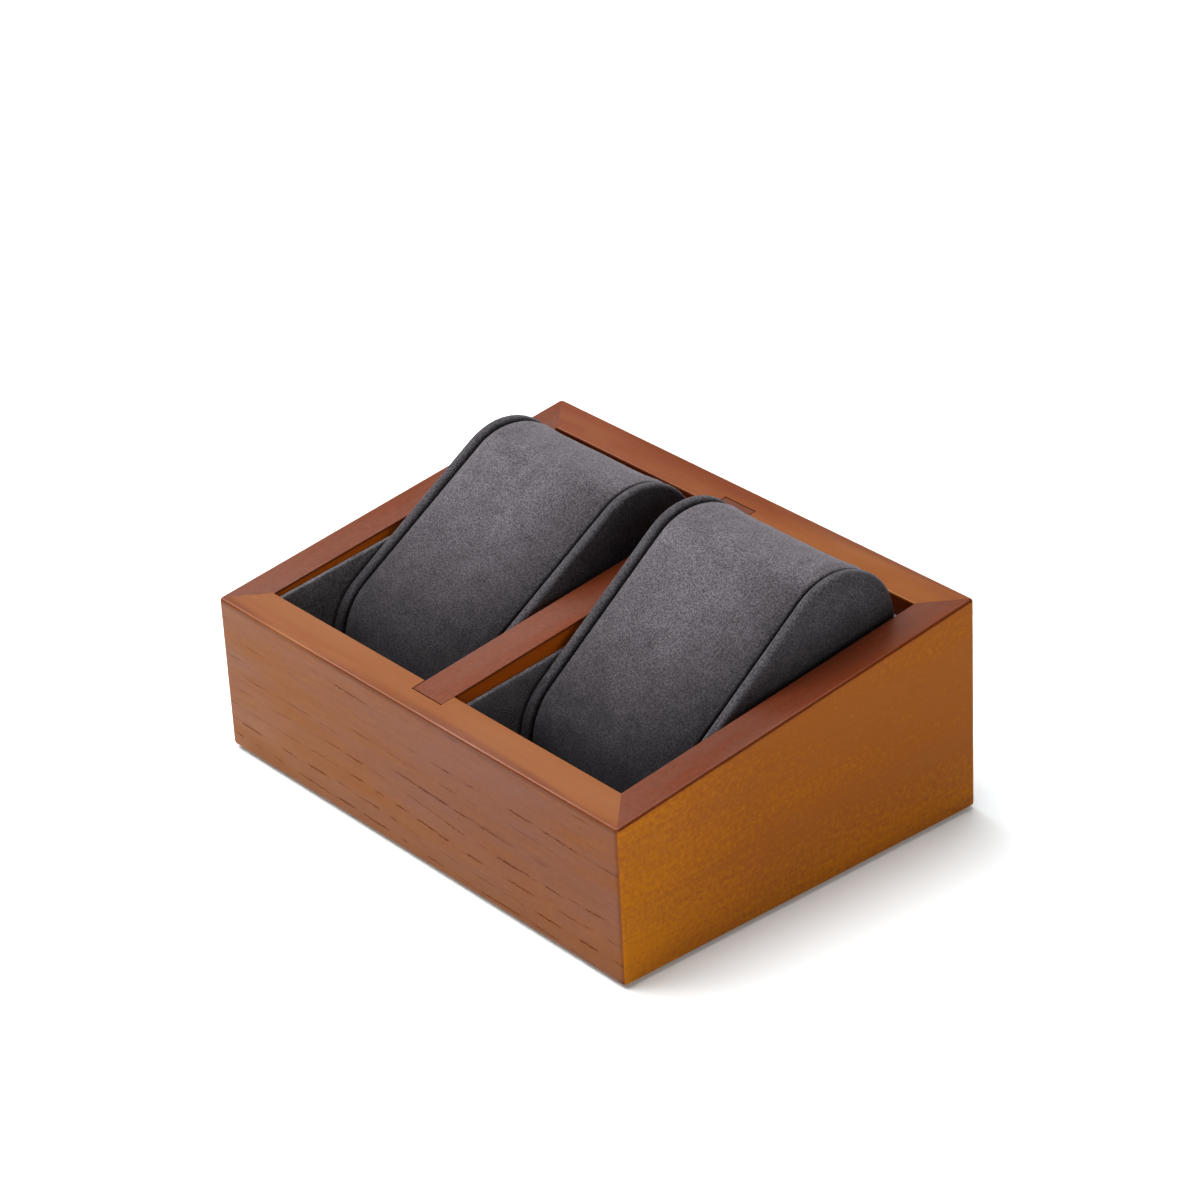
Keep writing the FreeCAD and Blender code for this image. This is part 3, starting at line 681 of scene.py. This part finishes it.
class WATCHBOX_OT_finish_hidden_boards(bpy.types.Operator):
    """Gives the plywood base and the boards inside the pillows their own surfaces"""

    bl_idname = "watchbox.finish_hidden_boards"
    bl_label = "Finish Hidden Boards"

    def execute(self, context):
        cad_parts["base_panel"].data.materials[0] = birch_plywood()
        pressed = fibreboard()
        for pillow in BAYS:
            for end in ENDS:
                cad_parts[f"{pillow}_pillow_{end}_board"].data.materials[0] = pressed
        return {"FINISHED"}


# Bays and underside

# How much of a board's thickness a soft edge may take.
EDGE_SHARE = 0.48
FELT_EDGE_SHARE = 0.3


class WATCHBOX_OT_line_bays(bpy.types.Operator):
    """Lines both bays with suede-wrapped boards"""

    bl_idname = "watchbox.line_bays"
    bl_label = "Line Bays"

    def execute(self, context):
        settings = context.scene.watch_box
        lining = settings.lining
        # The lining takes the lighter copy of the suede: painted light.
        cloth = suede("grey_suede_lining", settings.suede, settings.suede.lining, 0.0)
        for bay, side in BAYS.items():
            for place in ("floor", "wall", "divider", "front", "rear"):
                node = f"{bay}_bay_{place}_liner"
                low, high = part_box(node)
                front_top = top_at(node, low.y, 2 * lining.edge_radius)
                rear_top = top_at(node, high.y, 2 * lining.edge_radius)
                puff = lining.side_puff
                if place == "floor":
                    corners = level_corners(low, high)
                    inward, thick = (0, 0, 1), high.z - low.z
                elif place in ("wall", "divider"):
                    inward_x = -side if place == "wall" else side
                    back = low.x if inward_x > 0 else high.x
                    corners = [(back, low.y, low.z), (back, high.y, low.z),
                               (back, high.y, rear_top), (back, low.y, front_top)]
                    inward, thick = (inward_x, 0, 0), high.x - low.x
                else:
                    inward_y = 1 if place == "front" else -1
                    back = low.y if inward_y > 0 else high.y
                    corners = [(low.x, back, low.z), (high.x, back, low.z),
                               (high.x, back, high.z), (low.x, back, high.z)]
                    inward, thick = (0, inward_y, 0), high.y - low.y
                    puff = lining.rear_puff if place == "rear" else puff
                edge = min(lining.edge_radius, thick * EDGE_SHARE)
                mesh = wrapped_board(node, corners, inward, thick, edge, puff)
                piece = new_piece(f"{bay}_bay_{place}_lining", mesh, cloth, "case", "grey_suede", node)
        return {"FINISHED"}


class WATCHBOX_OT_lay_felt(bpy.types.Operator):
    """Lays the felt under the case"""

    bl_idname = "watchbox.lay_felt"
    bl_label = "Lay Felt"

    def execute(self, context):
        node = "underside_felt"
        low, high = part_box(node)
        thick = high.z - low.z
        edge = thick * FELT_EDGE_SHARE
        mesh = wrapped_board(node, level_corners(low, high), (0, 0, 1), thick, edge, 0.0)
        piece = new_piece("felt_sheet", mesh, black_felt(), "case", "black_felt", node)
        return {"FINISHED"}


# Pillows

# Points in each quarter of the oval, rings along the band, turns of its rolled edge in degrees, slack
# with which its cloth starts, and share of a bend over which its flat side ends.
OVAL_STEPS = 32
BAND_RINGS = 33
ROLL_TURNS = (90, 72, 54, 36, 18)
SLACK = 0.35 * MM
BEND_SHARE = 0.8

# Ripples of the foam: how many waves go round, and how many lie across.
RIPPLE_WAVES = 8
RIPPLES_ACROSS = (0.5, 3.5)

# The cloth of the bands: the scale and the length of its simulation, how far a point may move, and the
# distance at which cloth and foam meet, at the enlarged scale.
CLOTH = {"quality": 6, "mass": 0.3, "tension_stiffness": 20.0, "compression_stiffness": 20.0,
         "shear_stiffness": 8.0, "bending_stiffness": 1.5, "shrink_min": 0.012}
CLOTH_SCALE = 10.0
CLOTH_FRAMES = 24
CLOTH_LIMIT = 1.5 * MM
CLOTH_GAP = 0.002

# Where painted shade darkens the band: from this share of the half width towards the right seam, fading over
# this reach past the crown's centre, and between these shares of the length towards the nose, where it grows
# by this power and up to this limit.
SEAM_SHARE = 0.15
CROWN_REACH = 9 * MM
NOSE_SHARES = (0.9, 0.15)
NOSE_LIMIT = 1.2
NOSE_POWER = 1.4


class PillowPlace:
    """Where a pillow leans, read from its own nodes."""

    def __init__(self, pillow, settings):
        radius = settings.panel_radius
        low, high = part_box(f"{pillow}_left_cover")
        band_low, band_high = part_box(f"{pillow}_band")
        middle = (band_low.x + band_high.x) / 2
        nose = Vector((middle, low.y + radius, low.z + radius))
        crown = Vector((middle, high.y - radius, high.z - radius))
        self.length = (crown - nose).length
        self.half_width = (band_high.x - band_low.x) / 2
        self.panel_thickness = high.x - low.x
        along = (crown - nose).normalized()
        across = Vector((1, 0, 0))
        above = across.cross(along)
        self.matrix = Matrix.Translation(nose) @ Matrix((across, along, above)).transposed().to_4x4()


def oval_rule(length):
    """Spine place and direction of each point round a flat oval: both round ends and both straight sides."""
    t = np.arange(4 * OVAL_STEPS) / OVAL_STEPS

    def part(start):
        return np.clip(t - start, 0, 1)

    angle = math.pi * (part(0) + part(2) - 0.5)
    spine = length * (1 - part(1) + part(3))
    return spine, np.cos(angle), np.sin(angle)


def smooth_step(value):
    value = np.clip(value, 0, 1)
    return value * value * (3 - 2 * value)


def band_radius_at(x, cosines, half, settings):
    """Radius of the stuffed band: bulging on the flat sides, drawn in round the bends."""
    peak = settings.bulge_shift
    reach = np.where(x < peak, half + peak, half - peak)
    bulge = settings.bulge * (1 - np.abs((x - peak) / reach) ** 3)
    flare = np.clip((np.abs(x) - (half - settings.flare_width)) / settings.flare_width, 0, 1) ** 2
    waist = settings.waist_depth * (1 - flare)
    flat = 1 - smooth_step(np.abs(cosines) / BEND_SHARE)
    return settings.band_radius + bulge[:, None] * flat[None] - waist[:, None] * (1 - flat[None])


def ring_points(x, radius, rule):
    """Points of rings round the oval, at places x and with a radius for each point."""
    spine, cosines, sines = rule
    return np.stack([np.broadcast_to(x[:, None], radius.shape),
                     spine[None] + radius * cosines[None],
                     radius * sines[None]], axis=-1)


def foam_ripple(shape, height, seed):
    """Slow unevenness of the foam, the same at every run."""
    random = np.random.RandomState(seed)
    across, around = np.meshgrid(np.linspace(0, 1, shape[0]), np.linspace(0, 2 * math.pi, shape[1], False),
                                 indexing="ij")
    total = np.zeros(shape)
    for wave in range(RIPPLE_WAVES):
        shift = random.uniform(0, 2 * math.pi, 2)
        total += (np.sin(math.pi * random.uniform(*RIPPLES_ACROSS) * across + shift[0])
                  * np.sin((wave + 2) * around + shift[1]))
    return height * total / np.abs(total).max()


def tube_faces(rings, steps):
    """Faces between rings of points that are numbered one after another."""
    return [[i * steps + j, i * steps + (j + 1) % steps, (i + 1) * steps + (j + 1) % steps,
             (i + 1) * steps + j] for i in range(rings - 1) for j in range(steps)]


def plain_object(name, grid):
    """An open tube from rings of points, enlarged for the simulation, in the scene."""
    mesh = bpy.data.meshes.new(name)
    points = [tuple(p * CLOTH_SCALE) for p in grid.reshape(-1, 3)]
    mesh.from_pydata(points, [], tube_faces(*grid.shape[:2]))
    made = bpy.data.objects.new(name, mesh)
    bpy.context.scene.collection.objects.link(made)
    return made


def pull_tight(name, cloth_grid, foam_grid):
    """Lets the band shrink on to its foam core, held at both seams, and returns its rings of points.

    The simulation runs enlarged, without gravity, for a fixed number of frames.
    """
    foam = plain_object(f"{name}_foam", foam_grid)
    foam.modifiers.new("collision", "COLLISION")
    foam.collision.thickness_outer = CLOTH_GAP
    foam.collision.cloth_friction = 2.0
    band = plain_object(f"{name}_cloth", cloth_grid)
    rings, steps = cloth_grid.shape[:2]
    held = band.vertex_groups.new(name="held")
    held.add(list(range(steps)) + list(range((rings - 1) * steps, rings * steps)), 1.0, "REPLACE")
    cloth = band.modifiers.new("cloth", "CLOTH")
    for setting, value in CLOTH.items():
        setattr(cloth.settings, setting, value)
    cloth.settings.vertex_group_mass = held.name
    cloth.settings.effector_weights.gravity = 0.0
    cloth.collision_settings.distance_min = CLOTH_GAP
    cloth.point_cache.frame_end = CLOTH_FRAMES
    scene = bpy.context.scene
    for number in range(1, CLOTH_FRAMES + 1):
        scene.frame_set(number)
    graph = bpy.context.evaluated_depsgraph_get()
    settled = band.evaluated_get(graph).to_mesh()
    points = np.array([v.co for v in settled.vertices]).reshape(cloth_grid.shape) / CLOTH_SCALE
    for made in (band, foam):
        made.modifiers.clear()
        bpy.data.objects.remove(made)
    scene.frame_set(1)
    moved = points - cloth_grid
    length = np.linalg.norm(moved, axis=-1, keepdims=True)
    return cloth_grid + moved * np.minimum(1.0, CLOTH_LIMIT / np.maximum(length, 1e-9))


def band_grid(name, place, settings, seed):
    """The whole band: seam, turned-in edge, stretched cloth, and the same at the other end."""
    rule = oval_rule(place.length)
    half, roll = place.half_width, settings.seam_roll
    edges = {-1: half - settings.left_gap, 1: half - settings.right_gap}
    x = np.linspace(-(edges[-1] - roll), edges[1] - roll, BAND_RINGS)
    foam = band_radius_at(x, rule[1], half, settings)
    inside = np.sin(math.pi * np.linspace(0, 1, len(x)))[:, None] ** 0.5
    foam += foam_ripple(foam.shape, settings.foam_ripple, seed) * inside
    foam_grid = ring_points(x, foam, rule)
    loose = ring_points(x, foam + SLACK * inside, rule)
    stretched = pull_tight(name, loose, foam_grid)
    turns = [math.radians(degrees) for degrees in ROLL_TURNS]
    depth = settings.seam_depth
    drops = [depth + roll, depth, depth] + [roll * (1 - math.cos(turn)) for turn in turns]
    ends = []
    for side, ring in ((-1, 0), (1, -1)):
        edge = edges[side]
        across = [half, half, edge] + [edge - roll + roll * math.sin(turn) for turn in turns]
        radius = np.array([foam[ring] - drop for drop in drops])
        rings = ring_points(side * np.array(across), radius, rule)
        ends.append(rings if side < 0 else rings[::-1])
    return np.concatenate([ends[0], stretched, ends[1]])


def tube_mesh(name, grid):
    """A closed mesh from rings of points, with both ends filled."""
    rings, steps = grid.shape[:2]
    faces = tube_faces(rings, steps)
    points = list(grid.reshape(-1, 3))
    for ring in (0, rings - 1):
        centre = len(points)
        points.append(grid[ring].mean(axis=0))
        faces += [[ring * steps + j, ring * steps + (j + 1) % steps, centre] for j in range(steps)]
    return mesh_from(name, points, faces)


def paint_seam_and_nose_shade(mesh, place, suede_settings):
    """Paints shade into the band: darker towards the right seam and the nose, and none round the crown."""
    points = np.array([vertex.co for vertex in mesh.vertices])
    seam = np.clip((points[:, 0] / place.half_width - SEAM_SHARE) / (1 - SEAM_SHARE), 0, 1)
    seam *= 1 - smooth_step((points[:, 1] - place.length) / CROWN_REACH)
    start, end = NOSE_SHARES
    nose = np.clip((start - points[:, 1] / place.length) / (start - end), 0, NOSE_LIMIT) ** NOSE_POWER
    unshaded = (1 - suede_settings.seam_shade * seam) * (1 - suede_settings.nose_shade * nose)
    mesh.attributes.new("brushed", "FLOAT", "POINT").data.foreach_set("value", 1 - unshaded)


class WATCHBOX_OT_sew_bands(bpy.types.Operator):
    """Makes the suede band of each pillow, pulled over its foam core"""

    bl_idname = "watchbox.sew_bands"
    bl_label = "Sew Bands"

    def execute(self, context):
        settings = context.scene.watch_box
        cloth = suede("grey_suede_band", settings.suede, settings.suede.band, 0.4)
        for seed, bay in enumerate(BAYS, start=3):
            pillow = f"{bay}_pillow"
            place = PillowPlace(pillow, settings.pillow)
            mesh = tube_mesh(f"{pillow}_band", band_grid(pillow, place, settings.pillow, seed))
            # Painted shade: the band is darkened towards the right seam and the nose.
            paint_seam_and_nose_shade(mesh, place, settings.suede)
            mesh.transform(place.matrix)
            piece = new_piece(f"{pillow}_suede_band", mesh, cloth, pillow, "grey_suede",
                              f"{pillow}_band", f"{pillow}_core")
        return {"FINISHED"}


def panel_tree():
    """Geometry nodes of an end panel: a soft half-round section carried round a flat oval."""
    tree = bpy.data.node_groups.new("wrapped_oval_panel", "GeometryNodeTree")
    tree.is_modifier = True
    sockets = {"Float": ("Radius", "Length", "Thickness", "Round", "Squareness", "Crown", "Side"),
               "Int": ("Steps Round", "Steps Across"), "Material": ("Suede",)}
    for kind, names in sockets.items():
        for name in names:
            tree.interface.new_socket(name, in_out="INPUT", socket_type=f"NodeSocket{kind}")
    tree.interface.new_socket("Geometry", in_out="OUTPUT", socket_type="NodeSocketGeometry")
    given = add_node(tree, "NodeGroupInput").outputs

    # A flat grid, from -2 to 2 each way. Each quarter of its X is a stretch of the way round the oval, and
    # its Y runs out along one face of the section, round the rim, and back along the other face.
    grid = add_node(tree, "GeometryNodeMeshGrid", {
        "Size X": 4.0, "Size Y": 4.0, "Vertices X": given["Steps Round"],
        "Vertices Y": given["Steps Across"]})
    place = add_node(tree, "ShaderNodeSeparateXYZ", (add_node(tree, "GeometryNodeInputPosition"),)).outputs
    known = {name: given[name] for name in sockets["Float"]}
    for axis, stretch in (("X", 0), ("X", 1), ("X", 2), ("X", 3), ("Y", 0), ("Y", 3)):
        known[f"{axis}{stretch}"] = add_node(tree, "ShaderNodeMapRange", {
            "Value": place[axis], "From Min": stretch - 2.0, "From Max": stretch - 1.0})
    known["rim"] = add_node(tree, "ShaderNodeMapRange", {
        "Value": place["Y"], "From Min": -1.0, "From Max": 1.0, "To Max": math.pi})

    # Each step has a name, an operation, and numbers or the names of what goes in: first the angle and
    # the place on the line between the round ends, then the section, then the point that both give.
    steps = (
        ("turns", "ADD", "X0", "X2"),
        ("angle", "MULTIPLY_ADD", "turns", math.pi, -math.pi / 2),
        ("back", "SUBTRACT", "X3", "X1"),
        ("share", "ADD", "back", 1.0),
        ("spine", "MULTIPLY", "share", "Length"),
        ("half", "MULTIPLY", "Thickness", 0.5),
        ("inner", "SUBTRACT", "Radius", "Round"),
        ("gone", "SUBTRACT", "Y0", "Y3"),
        ("quarter", "MULTIPLY", "gone", math.pi / 2),
        ("eased", "SINE", "quarter"),
        ("flat out", "MULTIPLY", "inner", "eased"),
        ("outward", "SINE", "rim"),
        ("bulge", "POWER", "outward", "Squareness"),
        ("radius", "MULTIPLY_ADD", "bulge", "Round", "flat out"),
        ("facing", "COSINE", "rim"),
        ("hand", "SIGN", "facing"),
        ("size", "ABSOLUTE", "facing"),
        ("swell", "POWER", "size", "Squareness"),
        ("sideways", "MULTIPLY", "swell", "hand"),
        ("level", "MULTIPLY", "sideways", "half"),
        ("squared", "MULTIPLY", "eased", "eased"),
        ("dome", "SUBTRACT", 1.0, "squared"),
        ("outer", "GREATER_THAN", "sideways", 0.0),
        ("padding", "MULTIPLY", "dome", "outer"),
        ("raised", "MULTIPLY_ADD", "padding", "Crown", "level"),
        ("lateral", "MULTIPLY", "raised", "Side"),
        ("cosine", "COSINE", "angle"),
        ("sine", "SINE", "angle"),
        ("along", "MULTIPLY_ADD", "radius", "cosine", "spine"),
        ("above", "MULTIPLY", "radius", "sine"))
    for name, operation, *terms in steps:
        known[name] = add_node(tree, "ShaderNodeMath", [known.get(term, term) for term in terms],
                               operation=operation)
    point = add_node(tree, "ShaderNodeCombineXYZ", (known["lateral"], known["along"], known["above"]))
    moved = add_node(tree, "GeometryNodeSetPosition", {
        "Geometry": grid.outputs["Mesh"], "Position": point})
    closed = add_node(tree, "GeometryNodeMergeByDistance", {"Geometry": moved, "Distance": POLE_MERGE})
    whole = add_node(tree, "GeometryNodeRealizeInstances", {"Geometry": closed})
    dressed = add_node(tree, "GeometryNodeSetMaterial", {"Geometry": whole, "Material": given["Suede"]})
    add_node(tree, "NodeGroupOutput", {"Geometry": dressed})
    return tree


def run_tree(name, tree, inputs):
    """The plain mesh that a geometry node tree makes from these inputs."""
    holder = bpy.data.objects.new(f"{name}_holder", bpy.data.meshes.new(f"{name}_holder"))
    bpy.context.scene.collection.objects.link(holder)
    modifier = holder.modifiers.new(tree.name, "NODES")
    modifier.node_group = tree
    for item in tree.interface.items_tree:
        if item.in_out == "INPUT":
            modifier[item.identifier] = inputs[item.name]
    graph = bpy.context.evaluated_depsgraph_get()
    mesh = bpy.data.meshes.new_from_object(holder.evaluated_get(graph), depsgraph=graph)
    mesh.name = name
    holder.modifiers.remove(modifier)
    bpy.data.objects.remove(holder)
    return mesh


class WATCHBOX_OT_cover_ends(bpy.types.Operator):
    """Covers the two end panels of each pillow with suede"""

    bl_idname = "watchbox.cover_ends"
    bl_label = "Cover Ends"

    def execute(self, context):
        settings = context.scene.watch_box
        # The panels take the darker copy of the suede: painted shade.
        cloth = suede("grey_suede_panel", settings.suede, settings.suede.panel, 0.9)
        tree = panel_tree()
        for bay in BAYS:
            pillow = f"{bay}_pillow"
            place = PillowPlace(pillow, settings.pillow)
            for end, side in ENDS.items():
                name = f"{pillow}_{end}_panel"
                mesh = run_tree(name, tree, {
                    "Radius": settings.pillow.panel_radius, "Length": place.length,
                    "Thickness": place.panel_thickness, "Round": settings.pillow.panel_round,
                    "Squareness": 0.85, "Crown": settings.pillow.panel_crown,
                    "Side": float(side), "Steps Round": 97, "Steps Across": 41, "Suede": cloth})
                tidy_mesh(mesh)
                centre = (place.half_width + place.panel_thickness / 2) * side
                mesh.transform(place.matrix @ Matrix.Translation((centre, 0, 0)))
                piece = new_piece(name, mesh, cloth, pillow, "grey_suede", f"{pillow}_{end}_cover")
        return {"FINISHED"}


# Stage

# The width and height of each light, its place, and what it faces, in metres.
BOX_MIDDLE = (0.0, 0.0, 0.03)
KEY_SOFTBOX = ((1.6, 2.0), (-0.55, -0.25, 1.5), BOX_MIDDLE)
FILL_CARD = ((1.5, 0.9), (1.6, -0.6, 0.5), BOX_MIDDLE)
BACKDROP_CARD = ((3.0, 1.8), (-1.4, 1.13, 0.92), (0.0, 0.0, 0.3))


def add_area_light(name, power, size, place, aim):
    """A soft white light that faces a point."""
    light = bpy.data.lights.new(name, "AREA")
    light.energy = power
    light.shape = "RECTANGLE"
    light.size, light.size_y = size
    holder = bpy.data.objects.new(name, light)
    holder.location = place
    holder.rotation_euler = (Vector(aim) - Vector(place)).to_track_quat("-Z", "Y").to_euler()
    holder.visible_camera = False
    bpy.context.scene.collection.objects.link(holder)


class WATCHBOX_OT_set_stage(bpy.types.Operator):
    """Sets the camera, the soft studio light and the pale floor"""

    bl_idname = "watchbox.set_stage"
    bl_label = "Set Stage"

    def execute(self, context):
        stage = context.scene.watch_box.stage
        self.add_camera(context, stage)
        self.add_floor(context, stage)
        add_area_light("key_softbox", stage.key, *KEY_SOFTBOX)
        add_area_light("fill_card", stage.fill, *FILL_CARD)
        add_area_light("backdrop_card", stage.backdrop, *BACKDROP_CARD)
        world = bpy.data.worlds.new("dim_studio")
        world.use_nodes = True
        world.node_tree.nodes.clear()
        sky = add_node(world.node_tree, "ShaderNodeBackground", {"Color": WHITE, "Strength": stage.sky})
        add_node(world.node_tree, "ShaderNodeOutputWorld", {"Surface": sky})
        context.scene.world = world
        context.scene.view_settings.view_transform = "Standard"
        context.scene.view_settings.look = "High Contrast"
        return {"FINISHED"}

    def add_camera(self, context, stage):
        flat = math.cos(stage.elevation)
        back = Vector((math.sin(stage.azimuth) * flat, -math.cos(stage.azimuth) * flat,
                       math.sin(stage.elevation)))
        right = (-back).cross(Vector((0, 0, 1))).normalized()
        up = right.cross(-back)
        turned_right = right * math.cos(stage.roll) + up * math.sin(stage.roll)
        turned_up = up * math.cos(stage.roll) - right * math.sin(stage.roll)
        camera = bpy.data.objects.new("camera", bpy.data.cameras.new("camera"))
        camera.data.lens = stage.lens
        place = Vector((stage.aim_x, stage.aim_y, stage.aim_z)) + back * stage.distance
        turn = Matrix((turned_right, turned_up, back)).transposed().to_4x4()
        camera.matrix_world = Matrix.Translation(place) @ turn
        context.scene.collection.objects.link(camera)
        context.scene.camera = camera

    def add_floor(self, context, stage):
        half = stage.floor_size / 2
        mesh = bpy.data.meshes.new("studio_floor")
        mesh.from_pydata([(-half, -half, 0), (half, -half, 0), (half, half, 0), (-half, half, 0)],
                         [], [(0, 1, 2, 3)])
        mesh.materials.append(floor_with_painted_glow(stage))
        floor = bpy.data.objects.new("studio_floor", mesh)
        context.scene.collection.objects.link(floor)


OPERATORS = (WATCHBOX_OT_set_stage, WATCHBOX_OT_finish_wood, WATCHBOX_OT_finish_hidden_boards,
             WATCHBOX_OT_line_bays, WATCHBOX_OT_lay_felt, WATCHBOX_OT_sew_bands,
             WATCHBOX_OT_cover_ends)


class WATCHBOX_PT_finishes(bpy.types.Panel):
    """Lists the steps that finish the box"""

    bl_idname = "WATCHBOX_PT_finishes"
    bl_label = "Watch Box"
    bl_space_type = "VIEW_3D"
    bl_region_type = "UI"
    bl_category = "Watch Box"

    def draw(self, context):
        for operator in OPERATORS:
            self.layout.operator(operator.bl_idname)
        for part in WatchBoxSettings.__annotations__:
            group = getattr(context.scene.watch_box, part)
            for name in group.__annotations__:
                self.layout.prop(group, name)


CLASSES = (WatchBoxWood, WatchBoxSuede, WatchBoxPillow, WatchBoxLining, WatchBoxStage,
           WatchBoxSettings, *OPERATORS, WATCHBOX_PT_finishes)


def register():
    for item in CLASSES:
        bpy.utils.register_class(item)
    bpy.types.Scene.watch_box = bpy.props.PointerProperty(type=WatchBoxSettings)


def unregister():
    del bpy.types.Scene.watch_box
    for item in reversed(CLASSES):
        bpy.utils.unregister_class(item)


def main():
    register()
    bpy.ops.watchbox.set_stage()
    bpy.ops.watchbox.finish_wood()
    bpy.ops.watchbox.finish_hidden_boards()
    bpy.ops.watchbox.line_bays()
    bpy.ops.watchbox.lay_felt()
    bpy.ops.watchbox.sew_bands()
    bpy.ops.watchbox.cover_ends()


if __name__ == "__main__":
    main()
